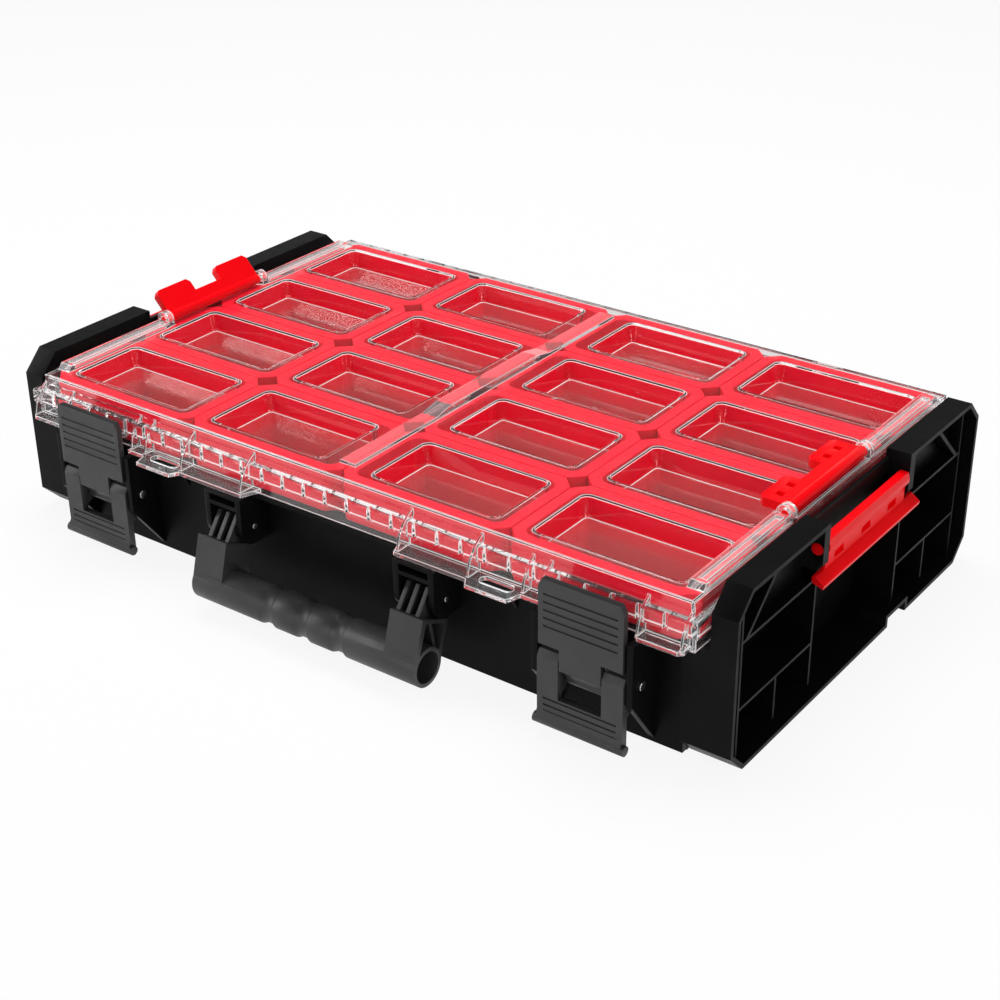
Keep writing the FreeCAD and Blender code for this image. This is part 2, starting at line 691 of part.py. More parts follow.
for spot, front in ((f"({lip_start} + fin_thick)", lip_front), ("(eye_x - eye_width / 2)", lip_front),
                    ("(eye_x + eye_width / 2)", set_back), (f"({lip_end} - fin_thick)", set_back),
                    (f"({tab_start} + fin_thick)", tab_front), (f"({tab_out} - fin_thick)", tab_front)):
    fin_front = f"({front} - fin_thick)"
    middle = f"({fin_front} - fin_radius)"
    rise = f"sqrt(fin_radius * fin_radius - ({fin_back} - {middle}) * ({fin_back} - {middle}))"
    fin = outline(new_sketch(lid, "YZ_Plane", spot), [
        (f"-{fin_front}", fin_low, (f"-{middle}", fin_low, "fin_radius")),
        (f"-{fin_back}", f"{fin_low} + {rise}"), (f"-{fin_back}", shoulder), (f"-{lip_root}", "tooth_low"),
        (f"-{lip_root}", fin_low)])
    pad(lid, fin, "fin_thick", both=True)
catch = new_sketch(lid, "XY_Plane", "catch_low")
rectangle(catch, "latch_x - latch_half + 2 * cheek_thick", "latch_x + latch_half - 2 * cheek_thick",
          f"-{skirt_y} - catch_reach", f"-{lip_root}")
pad(lid, catch, "catch_height")

# Lid: lugs and rails for the lid clip
lug_in = "(clip_half + part_gap)"
lug_out = f"({lug_in} + lug_thick)"
lug_arc = (clip_x, clip_z, "lug_radius")
for side in (1, -1):
    lug = outline(new_sketch(lid, "XZ_Plane", f"{side} * {lug_in}"), [
        (f"{clip_x} - lug_radius", "lid_top - lid_wall / 2"),
        (f"{clip_x} + lug_radius", "lid_top - lid_wall / 2"),
        (f"{clip_x} + lug_radius", clip_z, lug_arc), (clip_x, f"{clip_z} + lug_radius", lug_arc),
        (f"{clip_x} - lug_radius", clip_z)])
    ring(lug, clip_x, clip_z, "trunnion_radius + run_gap")
    pad(lid, lug, "lug_thick", back=side < 0)
rail_end = f"({edge_y} - frame_bevel)"
rails = new_sketch(lid, "YZ_Plane", f"{edge_x} - rail_width - lid_wall / 2")
for side in ("-", ""):
    outline(rails, [
        (f"{side}{lug_out}", "lid_top - lid_wall / 2"),
        (f"{side}({rail_end} + rail_rise)", "lid_top - lid_wall / 2"),
        (f"{side}{rail_end}", "lid_top + rail_rise"), (f"{side}{lug_out}", "lid_top + rail_rise")])
pad(lid, rails, "rail_width")
channels = new_sketch(lid, "XY_Plane", plate_under)
for side in ("-", ""):
    near = f"{side}({lug_out} + lid_wall)"
    far = f"{side}({rail_end} - rail_rise)"
    low, high = (far, near) if side else (near, far)
    rectangle(channels, f"{edge_x} - rail_width + pocket_wall", f"{edge_x} - lid_wall - pocket_wall", low, high)
pocket(lid, channels, "lid_wall + rail_rise - pocket_wall", back=True)

# Lid: hinge knuckle
arm = outline(new_sketch(lid, "YZ_Plane", "hinge_x"), [
    (lip_root, f"{lip_low} + lip_thick / 2"), (hinge_y, f"{hinge_z} - knuckle_radius", knuckle_arc),
    (f"{hinge_y} + knuckle_radius", hinge_z, knuckle_arc), (hinge_y, f"{hinge_z} + knuckle_radius"),
    (lip_root, "tooth_low + tooth_proud")])
ring(arm, hinge_y, hinge_z, "hinge_pin_radius + run_gap")
pad(lid, arm, "2 * knuckle_width - 2 * part_gap", both=True)
mirror(lid)

# Lid: slots that part the band into teeth
for axis, across, deep in (("X_Axis", edge_x, skirt_y), ("Y_Axis", edge_y, skirt_x)):
    count = f"floor(2 * {across} / tooth_pitch)"
    start = f"(-({count} - 1) * tooth_pitch / 2)"
    slots = new_sketch(lid, "XY_Plane", "tooth_low + tooth_height")
    for side in ("-", ""):
        inner = f"{side}{deep}"
        outer = f"{side}({deep} + 2 * tooth_proud)"
        low, high = (outer, inner) if side else (inner, outer)
        if axis == "X_Axis":
            rectangle(slots, f"{start} - tooth_slot / 2", f"{start} + tooth_slot / 2", low, high)
        else:
            rectangle(slots, low, high, f"{start} - tooth_slot / 2", f"{start} + tooth_slot / 2")
    row_of(lid, [pocket(lid, slots, "tooth_height")], axis, "tooth_pitch", count)

# Lid: sunken trays over the bins, drafted inside and out
pocket_edge = "((bin_pitch_x - pocket_x) / 2)"
columns = [("spine_half", f"bin_pitch_x - {pocket_edge}"),
           (f"bin_pitch_x + {pocket_edge}", f"2 * bin_pitch_x - {pocket_edge}")]
first_row = f"(-{half_y} + bin_pitch_y / 2)"


def tray_sketch(level, grow):
    sketch = new_sketch(lid, "XY_Plane", level)
    low = f"{first_row} - pocket_y / 2 - {grow}"
    high = f"{first_row} + pocket_y / 2 + {grow}"
    for near, far in columns:
        rounded(sketch, f"{near} - {grow}", f"{far} + {grow}", low, high, "pocket_radius")
        rounded(sketch, f"-({far}) - {grow}", f"-({near}) + {grow}", low, high, "pocket_radius")
    return sketch


tray_low = "pocket_depth - lid_wall / 2 + pocket_wall"
trays = pad(lid, tray_sketch("lid_top - lid_wall / 2", "pocket_wall"), tray_low, back=True,
            draft="-pocket_draft")
row_of(lid, [trays], "Y_Axis", "bin_pitch_y", ROWS)
trays = pocket(lid, tray_sketch("lid_top", "0"), "pocket_depth", draft="-pocket_draft")
row_of(lid, [trays], "Y_Axis", "bin_pitch_y", ROWS)


# Latch lever: a panel with two arms, a curled lip, and a rod that carries the hook plate

lever = new_body("lever_form")
lever_back = f"({latch_face} - lever_thick)"
arm_back = f"({latch_pin_y} - link_radius)"
window_low = f"({link_z} - latch_pin_in - part_gap)"
profile = outline(new_sketch(lever, "YZ_Plane"), [
    (f"-{latch_face} + lever_thick / 2", "lever_top"), (f"-{latch_face}", "lever_top - lever_thick"),
    (f"-{latch_face}", "lever_low + 3 * bead_radius"),
    (f"-{latch_face} - bead_radius / 2", "lever_low + 2 * bead_radius"),
    (f"-{latch_face} - bead_radius / 2", "lever_low + bead_radius"),
    (f"-{lever_back}", "lever_low + bead_radius"),
    (f"-{lever_back}", window_low), (f"-{lever_back}", f"{link_z} - 2 * link_radius"),
    (f"-{arm_back}", f"{link_z} - link_radius"), (f"-{arm_back}", "lever_top - lever_thick / 2"),
    (f"-{arm_back} - lever_thick / 2", "lever_top")])
pad(lever, profile, "2 * latch_half", both=True)
bead = ring(new_sketch(lever, "YZ_Plane"), f"-{latch_face} + bead_radius / 4", "lever_low + bead_radius",
            "bead_radius")
pad(lever, bead, "2 * latch_half + 2 * bead_wide", both=True)
window = new_sketch(lever, "XZ_Plane", latch_face)
rectangle(window, "-window_half", "window_half", window_low, "lever_top + 1")
pocket(lever, window, "4 * lever_thick")
pad(lever, ring(new_sketch(lever, "YZ_Plane"), f"-{latch_pin_y}", link_z, "link_pin_radius"),
    "2 * window_half + 2", both=True)
pocket(lever, ring(new_sketch(lever, "YZ_Plane"), f"-{latch_pin_y}", "latch_pin_z",
                   "latch_pin_radius + run_gap"),
       "2 * latch_half + 2", both=True)
grooves = new_sketch(lever, "XZ_Plane", latch_face)
rectangle(grooves, "-latch_half + cheek_thick", "latch_half - cheek_thick",
          "lever_groove_low", "lever_groove_low + groove_high")
row_of(lever, [pocket(lever, grooves, "groove_deep")], "Z_Axis", "lever_groove_pitch", 3)


# Latch hook plate: a ribbed plate with a hook behind and a tongue down to the lever's rod

plate = new_body("plate_form")
plate_half = "(latch_half - latch_side_gap)"
tongue_half = "(window_half - plate_gap)"
panel = outline(new_sketch(plate, "XZ_Plane", latch_face), [
    (f"-{plate_half}", "plate_low"), (f"-{tongue_half}", "plate_low"), (f"-{tongue_half}", "tongue_low"),
    (tongue_half, "tongue_low"), (tongue_half, "plate_low"), (plate_half, "plate_low"),
    (plate_half, "plate_top - lever_thick"), (f"{plate_half} - lever_thick / 2", "plate_top"),
    (f"-{plate_half} + lever_thick / 2", "plate_top"), (f"-{plate_half}", "plate_top - lever_thick")])
pad(plate, panel, "plate_thick", back=True)
hook_low = "(catch_low + catch_height + seat_gap)"
hook_tip = f"({skirt_y} + catch_reach - hook_bite)"
plate_back = f"({latch_face} - plate_thick / 2)"
hook = outline(new_sketch(plate, "YZ_Plane"), [
    (f"-{plate_back}", hook_low), (f"-{hook_tip}", hook_low),
    (f"-{hook_tip}", f"{hook_low} + hook_height / 2"),
    (f"-{hook_tip} - hook_height", f"{hook_low} + hook_height"),
    (f"-{plate_back}", f"{hook_low} + 2 * hook_height")])
pad(plate, hook, "2 * latch_half - 4 * cheek_thick", both=True)
link = outline(new_sketch(plate, "YZ_Plane"), [
    (f"-{plate_back}", "tongue_low"), (f"-{plate_back}", "tongue_low + 2 * plate_thick"),
    (f"-{latch_pin_y} + link_radius / 2", f"{link_z} + link_radius"),
    (f"-{latch_pin_y} - link_radius / 2", f"{link_z} - link_radius / 2")])
pad(plate, link, f"2 * {tongue_half}", both=True)
pad(plate, ring(new_sketch(plate, "YZ_Plane"), f"-{latch_pin_y}", link_z, "link_radius"),
    f"2 * {tongue_half}", both=True)
pocket(plate, ring(new_sketch(plate, "YZ_Plane"), f"-{latch_pin_y}", link_z, "link_pin_radius + run_gap"),
       "2 * latch_half", both=True)
grooves = new_sketch(plate, "XZ_Plane", latch_face)
rectangle(grooves, "-latch_half + cheek_thick", "latch_half - cheek_thick",
          "plate_groove_low", "plate_groove_low + groove_high")
row_of(plate, [pocket(plate, grooves, "groove_deep")], "Z_Axis", "plate_groove_pitch", 5)

# Latch pin with a flat head on its right end
latch_pin = new_body("latch_pin_form")
pin_end = "(latch_half + latch_side_gap + cheek_thick)"
pad(latch_pin, ring(new_sketch(latch_pin, "YZ_Plane"), f"-{latch_pin_y}", "latch_pin_z",
                    "latch_pin_radius"),
    f"2 * {pin_end} + 1", both=True)
pad(latch_pin, ring(new_sketch(latch_pin, "YZ_Plane", f"{pin_end} + pin_fit"),
                    f"-{latch_pin_y}", "latch_pin_z", "latch_pin_radius + 1"), "1")


# Handle: a scalloped grip between two hollow arms, hung on three fins a side

handle = new_body("handle")
pad(handle, ring(new_sketch(handle, "YZ_Plane"), f"-{grip_y}", grip_z, "grip_radius"), "2 * handle_half",
    both=True)
scallop = new_sketch(handle, "XZ_Plane", grip_y)
scallop.setExpression("AttachmentOffset.Base.y", bind(grip_z))
outline(scallop, [
    ("-scallop_pitch * 1.3", "grip_radius + 1"), ("-scallop_pitch * 1.1", "grip_radius - scallop_depth"),
    ("-scallop_pitch * 0.9", "grip_radius - scallop_depth"), ("-scallop_pitch * 0.7", "grip_radius + 1")])
valley = handle.newObject("PartDesign::Groove", "handle_valley")
valley.Profile = scallop
valley.ReferenceAxis = (scallop, ["H_Axis"])
valley.Angle = 360
row_of(handle, [valley], "X_Axis", "scallop_pitch", 3)
arm_low_front = (f"-{grip_y} - grip_radius", grip_z)
arm_low_back = (f"-{grip_y} + grip_radius", grip_z)
arm_start = "(handle_half - arm_width)"
arm = outline(new_sketch(handle, "YZ_Plane", arm_start), [
    (f"-{pivot_y} - arm_front", f"{pivot_z} - arm_drop"), arm_low_front, arm_low_back,
    (f"-{pivot_y} + arm_back", f"{pivot_z} - arm_back_drop")])
pad(handle, arm, "arm_width")
hollow = outline(new_sketch(handle, "YZ_Plane", "handle_half"), [
    (f"-{pivot_y} - arm_front + 1.3 * arm_shell", f"{pivot_z} - arm_drop - 1.6 * arm_shell"),
    (f"-{grip_y} - grip_radius + 1.2 * arm_shell", f"{grip_z} + arm_shell"),
    (f"-{grip_y} + grip_radius - 1.3 * arm_shell", f"{grip_z} + arm_shell"),
    (f"-{pivot_y} + arm_back - 1.5 * arm_shell", f"{pivot_z} - arm_back_drop - 0.6 * arm_shell")])
pocket(handle, hollow, "arm_width - arm_shell")
truss_top = f"({pivot_z} - arm_drop - 1.8 * arm_shell)"
truss = new_sketch(handle, "YZ_Plane", f"{arm_start} + arm_shell / 2")
outline(truss, [
    (f"-{grip_y} + arm_shell", truss_top), (f"-{grip_y} + 2 * arm_shell", truss_top),
    (f"-{grip_y} - grip_radius + 2 * arm_shell", f"{grip_z} + 4 * arm_shell"),
    (f"-{grip_y} - grip_radius + arm_shell", f"{grip_z} + 4 * arm_shell")])
pad(handle, truss, "arm_width - 1.5 * arm_shell")
brace = new_sketch(handle, "YZ_Plane", f"{arm_start} + arm_shell / 2")
outline(brace, [
    (f"-{grip_y} + 2 * arm_shell", f"{pivot_z} - arm_drop - 2 * arm_shell"),
    (f"-{grip_y} + 3 * arm_shell", f"{pivot_z} - arm_drop - 2 * arm_shell"),
    (f"-{grip_y} + grip_radius - arm_shell / 2", f"{grip_z} + 3 * arm_shell"),
    (f"-{grip_y} + grip_radius - 1.5 * arm_shell", f"{grip_z} + 3 * arm_shell")])
pad(handle, brace, "arm_width - 1.5 * arm_shell")
collar = ring(new_sketch(handle, "YZ_Plane", arm_start), f"-{grip_y}", grip_z, "grip_radius")
pad(handle, collar, "arm_width")
for step in (-1, 0, 1):
    fin = outline(new_sketch(handle, "YZ_Plane", f"bracket_x + {step} * fin_pitch"), [
        (f"-{pivot_y} - arm_front + arm_shell", f"{pivot_z} - arm_drop - arm_shell"),
        (f"-{pivot_y} - 0.6 * bracket_radius", f"{pivot_z} + 0.72 * bracket_radius"),
        (f"-{pivot_y} + arm_back", f"{pivot_z} + 0.6 * bracket_radius"),
        (f"-{pivot_y} + arm_back", f"{pivot_z} - arm_back_drop - 1")])
    ring(fin, f"-{pivot_y}", pivot_z, "handle_pin_radius + run_gap")
    pad(handle, fin, "handle_fin", both=True)
mirror(handle)
for side in (1, -1):
    bore = ring(new_sketch(handle, "YZ_Plane", f"{side} * handle_half"), f"-{grip_y}", grip_z, "grip_bore")
    pocket(handle, bore, "arm_width - arm_shell", back=side < 0)

handle_pin = new_body("handle_pin_form")
pad(handle_pin, ring(new_sketch(handle_pin, "YZ_Plane"), f"-{pivot_y}", pivot_z, "handle_pin_radius"),
    f"{bracket_wide} + 1", both=True)

hinge_pin = new_body("hinge_pin_form")
pad(hinge_pin, ring(new_sketch(hinge_pin, "YZ_Plane"), hinge_y, hinge_z, "hinge_pin_radius"),
    "4 * knuckle_width + 1", both=True)


# Lid clip: a round bar on trunnions with a web and two tabs, drawn folded in about its own pivot

lid_clip = new_body("lid_clip_form")
pad(lid_clip, ring(new_sketch(lid_clip, "XZ_Plane"), "0", "0", "clip_bar"), "2 * clip_half", both=True)
pad(lid_clip, ring(new_sketch(lid_clip, "XZ_Plane"), "0", "0", "trunnion_radius"),
    "2 * clip_half + 2 * lug_thick", both=True)
web = rectangle(new_sketch(lid_clip, "XY_Plane", "-clip_thick / 2"), "-clip_web", "0", "-clip_half", "clip_half")
pad(lid_clip, web, "clip_thick")
tabs = new_sketch(lid_clip, "XY_Plane", "-clip_thick / 2")
for side in (-1, 1):
    inner = "(clip_half - clip_tab)"
    low, high = ("-clip_half", f"-{inner}") if side < 0 else (inner, "clip_half")
    outline(tabs, [
        ("0", low), ("0", high), ("-clip_reach + clip_thick / 2", high),
        ("-clip_reach", f"{high} - clip_thick / 2"),
        ("-clip_reach", f"{low} + clip_thick / 2"), ("-clip_reach + clip_thick / 2", low)])
pad(lid_clip, tabs, "clip_thick")
holes = new_sketch(lid_clip, "XY_Plane", "clip_thick / 2")
for side in (-1, 1):
    for share in (0.3, 0.7):
        middle = f"({side} * (clip_half - {share} * clip_tab))"
        rectangle(holes, "-clip_reach * 0.7", "-clip_reach * 0.45", f"{middle} - 2.5", f"{middle} + 2.5")
pocket(lid_clip, holes, "clip_thick / 2")


# Side clip: a bar on trunnions with a hanging plate that flares at its lower edge

side_clip = new_body("side_clip_form")
pad(side_clip, ring(new_sketch(side_clip, "XZ_Plane"), "0", "0", "side_clip_bar"),
    "2 * side_clip_half + 2 * ear_thick", both=True)
web_front = "(side_clip_bar + 1 - side_clip_sink)"
web_back = f"({web_front} - 3)"
foot_z = "(-side_clip_drop + 6)"
hang = outline(new_sketch(side_clip, "XZ_Plane"), [
    ("-side_clip_bar / 2", "side_clip_bar"), ("side_clip_bar", "side_clip_bar"), ("side_clip_bar + 1", "0"),
    ("side_clip_bar + 1", "-side_clip_bar + 1"), (web_front, "-side_clip_bar - 1"), (web_front, foot_z),
    (web_back, foot_z), (web_back, "-side_clip_bar")])
pad(side_clip, hang, "2 * side_clip_half", both=True)
flange_back = f"({web_back} + 2 * part_gap)"
flange = outline(new_sketch(side_clip, "XZ_Plane"), [
    (web_front, f"{foot_z} + 1"), ("side_clip_bar + 4.5", "-side_clip_drop + 2.5"),
    ("side_clip_bar + 4", "-side_clip_drop"), (flange_back, f"{foot_z} - 3"), (flange_back, f"{foot_z} + 1")])
pad(side_clip, flange, "2 * side_clip_flange", both=True)
slots = new_sketch(side_clip, "YZ_Plane", "2 * side_clip_bar")
for step in (-1, 0, 1):
    middle = f"({step} * side_clip_hole)"
    rectangle(slots, f"{middle} - 6", f"{middle} + 6", f"{foot_z} + 3", f"{foot_z} + 8")
pocket(side_clip, slots, "2 * side_clip_bar")

# Merge the faces that lie in one plane once, at the last feature of every body
for body in doc.findObjects("PartDesign::Body"):
    body.Tip.Refine = True
doc.recompute()


# Pieces: copies of the drawn forms in their places

pieces = [base, lid, handle]
for row in range(ROWS):
    for column in range(COLUMNS):
        x = f"({column} - ({COLUMNS} - 1) / 2) * bin_pitch_x"
        y = f"({row} - ({ROWS} - 1) / 2) * bin_pitch_y"
        pieces.append(place(f"bin_r{row + 1}c{column + 1}", bin_form, x, y))
for name, side in (("left", "-"), ("right", "")):
    pieces.append(place(f"latch_lever_{name}", lever, f"{side}latch_x"))
    pieces.append(place(f"latch_plate_{name}", plate, f"{side}latch_x"))
    pieces.append(place(f"latch_pin_{name}", latch_pin, f"{side}latch_x"))
    pieces.append(place(f"handle_pin_{name}", handle_pin, f"{side}bracket_x"))
    pieces.append(place(f"hinge_pin_{name}", hinge_pin, f"{side}hinge_x"))
pieces.append(place("lid_clip_right", lid_clip, clip_x, "0", clip_z))
pieces.append(place("lid_clip_left", lid_clip, f"-{clip_x}", "0", clip_z, flip=180, turn="-clip_turn"))
pieces.append(place("side_clip_right", side_clip, side_clip_x, "0", "side_clip_z"))
pieces.append(place("side_clip_left", side_clip, f"-{side_clip_x}", "0", "side_clip_z", flip=180))

doc.recompute()
for item in doc.Objects:
    if "Invalid" in item.State or "Error" in item.State:
        raise RuntimeError(f"{item.Name} did not build: {item.State}")
os.makedirs("parts", exist_ok=True)
for piece in pieces:
    if piece.Shape.isNull() or not piece.Shape.isValid():
        raise RuntimeError(f"{piece.Name} has no valid shape")
    piece.Shape.exportStep(f"parts/{piece.Name}.step")
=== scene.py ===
import bmesh
import bpy
import math
import numpy as np
from mathutils import Euler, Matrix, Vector


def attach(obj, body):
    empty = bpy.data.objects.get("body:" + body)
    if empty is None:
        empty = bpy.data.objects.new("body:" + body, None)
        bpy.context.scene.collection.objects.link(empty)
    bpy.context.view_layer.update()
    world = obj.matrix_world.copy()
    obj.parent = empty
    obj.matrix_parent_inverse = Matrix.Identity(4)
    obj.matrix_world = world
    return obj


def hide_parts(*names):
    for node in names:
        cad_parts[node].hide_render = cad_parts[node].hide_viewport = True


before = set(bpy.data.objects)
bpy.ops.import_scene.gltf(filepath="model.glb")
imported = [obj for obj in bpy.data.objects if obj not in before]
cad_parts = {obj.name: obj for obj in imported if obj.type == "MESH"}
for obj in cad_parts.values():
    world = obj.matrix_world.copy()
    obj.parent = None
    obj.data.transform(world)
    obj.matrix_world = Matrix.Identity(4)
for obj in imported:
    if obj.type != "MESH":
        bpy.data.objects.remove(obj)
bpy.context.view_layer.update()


# The tub: one large injection moulding in black polypropylene, with ribbed end frames and a rim ledge.
# Its mould was lightly etched, so the skin is satin with a fine grain, and each rib edge is a little round.

sharp_angle = math.radians(30)
level_angle = math.radians(0.4)
weld_distance = 0.00001
flat_area = 0.0004


def welded(node):
    """A copy of a node's facets, with doubled points merged and level facets joined to whole faces."""
    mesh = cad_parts[node].data.copy()
    mesh.name = node + "_skin"
    mesh.materials.clear()
    skin = bmesh.new()
    skin.from_mesh(mesh)
    bmesh.ops.remove_doubles(skin, verts=skin.verts, dist=weld_distance)
    bmesh.ops.dissolve_limit(skin, angle_limit=level_angle, verts=skin.verts, edges=skin.edges)
    return mesh, skin


def set_down(node, mesh, skin):
    """The worked faces go back into the mesh, and the mesh goes into the scene."""
    skin.to_mesh(mesh)
    skin.free()
    piece = bpy.data.objects.new(node + "_skin", mesh)
    bpy.context.scene.collection.objects.link(piece)
    return piece


def dress(node, body, material, round_over, steps=2):
    """A node's skin, with each edge over the sharp angle rolled over by a small radius, takes the node's
    place on its body. Faces over the flat area are shaded flat, and the smaller ones of the curves smooth."""
    mesh, skin = welded(node)
    for face in skin.faces:
        face.smooth = face.calc_area() < flat_area
    piece = set_down(node, mesh, skin)
    edges = piece.modifiers.new("edges", "BEVEL")
    edges.width = round_over
    edges.segments = steps
    edges.limit_method = "ANGLE"
    edges.angle_limit = sharp_angle
    edges.harden_normals = True
    edges.use_clamp_overlap = True
    piece.data.materials.append(material)
    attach(piece, body)
    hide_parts(node)


def wired(tree, kind, values=None, feeds=None):
    """A new node whose sockets in values are set and whose sockets in feeds are linked from other nodes."""
    made = tree.nodes.new("ShaderNode" + kind)
    for socket, value in (values or {}).items():
        made.inputs[socket].default_value = value
    for socket, source in (feeds or {}).items():
        tree.links.new(source, made.inputs[socket])
    return made


def spread(tree, source, low, high, start, end):
    """A value that is start where the source is low, end where it is high, and goes evenly between."""
    limits = {"From Min": low, "From Max": high, "To Min": start, "To Max": end}
    return wired(tree, "MapRange", limits, {"Value": source}).outputs["Result"]


def moulded(name, low, high, rough, grain, bite, shine=0.5, metal=0.0):
    """A moulded skin. Its colour drifts between two tones over the drift length in metres, its roughness
    follows a finer cloud, and a grain of etched pits gives the bump."""
    drift = 0.035
    tone_band = (0.35, 0.68)
    polish_band = (0.3, 0.7)
    polish_scale = 90
    pit_depth = 0.0003
    material = bpy.data.materials.new(name)
    material.use_nodes = True
    tree = material.node_tree
    shader = tree.nodes["Principled BSDF"]
    shader.inputs["Specular IOR Level"].default_value = shine
    shader.inputs["Metallic"].default_value = metal
    place = wired(tree, "TexCoord").outputs["Object"]

    def cloud(scale, detail):
        return wired(tree, "TexNoise", {"Scale": scale, "Detail": detail}, {"Vector": place}).outputs["Fac"]

    tone = wired(tree, "ValToRGB", feeds={"Fac": cloud(1 / drift, detail=4)})
    for stop, position, colour in zip(tone.color_ramp.elements, tone_band, (low, high)):
        stop.position = position
        stop.color = (*colour, 1)
    polish = spread(tree, cloud(polish_scale, detail=5), *polish_band, *rough)
    pits = wired(tree, "Bump", {"Strength": bite, "Distance": pit_depth}, {"Height": cloud(grain, detail=3)})
    tree.links.new(tone.outputs["Color"], shader.inputs["Base Color"])
    tree.links.new(polish, shader.inputs["Roughness"])
    tree.links.new(pits.outputs["Normal"], shader.inputs["Normal"])
    return material


black_satin = moulded("black_satin", low=(0.0035, 0.0035, 0.0037), high=(0.0055, 0.0055, 0.0058),
                      rough=(0.34, 0.46), grain=1500, bite=0.1, shine=0.06)
dress("case_base", "base", black_satin, round_over=0.0007)


# The bins: sixteen red cups with a flat rim and a skirt, loose in the tub and lifted out by hand.
# They are polished polypropylene, bright and a little waxy.

bin_rows = 4
bin_columns = 4
red_gloss = moulded("red_gloss", low=(0.7, 0.0005, 0.016), high=(0.74, 0.0007, 0.02),
                    rough=(0.3, 0.38), grain=900, bite=0.05, shine=0.22)
for row in range(1, bin_rows + 1):
    for column in range(1, bin_columns + 1):
        dress(f"bin_r{row}c{column}", "base", red_gloss, round_over=0.0008)


# The lid: a clear polycarbonate moulding hinged at the back, with a sunken tray over each bin.
# Its faces are polished and the tray floors lightly frosted. Painted highlights in white lie on the ridge
# tops and on each cut edge.

def cut_edges(node, chamfer):
    """A node's skin left flat, with each edge over the sharp angle cut to a narrow chamfer.
    The chamfer's faces carry 1 in the face attribute "edge", where the lid's material paints a white
    highlight, and the rest carry 0."""
    mesh, skin = welded(node)
    highlight_mark = skin.faces.layers.float.new("edge")
    sharp = [edge for edge in skin.edges
             if len(edge.link_faces) == 2 and edge.calc_face_angle(0) > sharp_angle]
    cut = bmesh.ops.bevel(skin, geom=sharp, offset=chamfer, offset_type="OFFSET", segments=1, profile=0.5,
                          affect="EDGES", clamp_overlap=False)
    for face in cut["faces"]:
        face[highlight_mark] = 1.0
    return set_down(node, mesh, skin)


def greater(tree, first, second):
    """The larger of two values."""
    larger = wired(tree, "Math", feeds={0: first, 1: second})
    larger.operation = "MAXIMUM"
    return larger.outputs["Value"]


def times(tree, source, factor):
    """A value times a fixed factor."""
    product = wired(tree, "Math", {1: factor}, {0: source})
    product.operation = "MULTIPLY"
    return product.outputs["Value"]


def mixed(tree, share, first, second):
    """The first shader where the share is 0, the second where it is 1, and a mix of both between."""
    return wired(tree, "MixShader", feeds={"Fac": share, 1: first, 2: second}).outputs["Shader"]


def polished_clear(name):
    """Clear plastic with a faint ripple from its mould. White lies over it in the largest of three shares:
    a painted highlight on cut edges, a haze on the tray floors and a painted highlight on the ridge tops.
    Shadow rays pass through."""
    floor_height = (0.1004, 0.1012)
    ridge_height = (0.1150, 0.1156)
    clear_and_frosted = (0.03, 0.07)
    clear_and_hazy = (0.002, 0.011)
    # The share of white painted on the cut edges as a highlight.
    edge_highlight_share = 0.5
    # The share of white painted on the ridge tops as a highlight.
    ridge_highlight_share = 0.1
    pale = (0.95, 0.95, 0.95, 1)
    material = bpy.data.materials.new(name)
    material.use_nodes = True
    tree = material.node_tree
    shader = tree.nodes["Principled BSDF"]
    shader.inputs["Base Color"].default_value = (0.98, 0.985, 0.985, 1)
    shader.inputs["IOR"].default_value = 1.45
    shader.inputs["Transmission Weight"].default_value = 1.0
    place = wired(tree, "TexCoord").outputs["Object"]
    flow = wired(tree, "TexNoise", {"Scale": 22, "Detail": 2}, {"Vector": place})
    ripple = wired(tree, "Bump", {"Strength": 0.02, "Distance": 0.002}, {"Height": flow.outputs["Fac"]})
    tree.links.new(ripple.outputs["Normal"], shader.inputs["Normal"])
    upward = wired(tree, "SeparateXYZ", feeds={"Vector": place}).outputs["Z"]
    frost = spread(tree, upward, *floor_height, 1, 0)
    tree.links.new(spread(tree, frost, 0, 1, *clear_and_frosted), shader.inputs["Roughness"])
    edge = wired(tree, "Attribute")
    edge.attribute_name = "edge"
    # Painted highlight: white diffuse on the chamfer faces of the cut edges.
    painted_edge_highlight = times(tree, edge.outputs["Fac"], edge_highlight_share)
    haze = spread(tree, frost, 0, 1, *clear_and_hazy)
    # Painted highlight: white diffuse over everything above the ridge height, the lid's top.
    painted_ridge_highlight = spread(tree, upward, *ridge_height, 0, ridge_highlight_share)
    white = greater(tree, greater(tree, painted_edge_highlight, haze), painted_ridge_highlight)
    # This white diffuse carries the tray floors' frost haze and the painted highlights.
    haze_and_painted_white = wired(tree, "BsdfDiffuse", {"Color": pale})
    body = mixed(tree, white, shader.outputs["BSDF"], haze_and_painted_white.outputs["BSDF"])
    through = wired(tree, "BsdfTransparent", {"Color": pale})
    in_shadow = wired(tree, "LightPath").outputs["Is Shadow Ray"]
    finish = mixed(tree, in_shadow, body, through.outputs["BSDF"])
    tree.links.new(finish, tree.nodes["Material Output"].inputs["Surface"])
    return material


lid_skin = cut_edges("lid", chamfer=0.0004)
lid_skin.data.materials.append(polished_clear("clear_polycarbonate"))
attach(lid_skin, "lid")
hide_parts("lid")


# The draw latches: a ribbed hook plate over the lid's catch, worked by a lever that turns on a pin.
# Plate and lever are glass-filled nylon in dark grey, rougher than the tub, and the pin in the tub is steel.

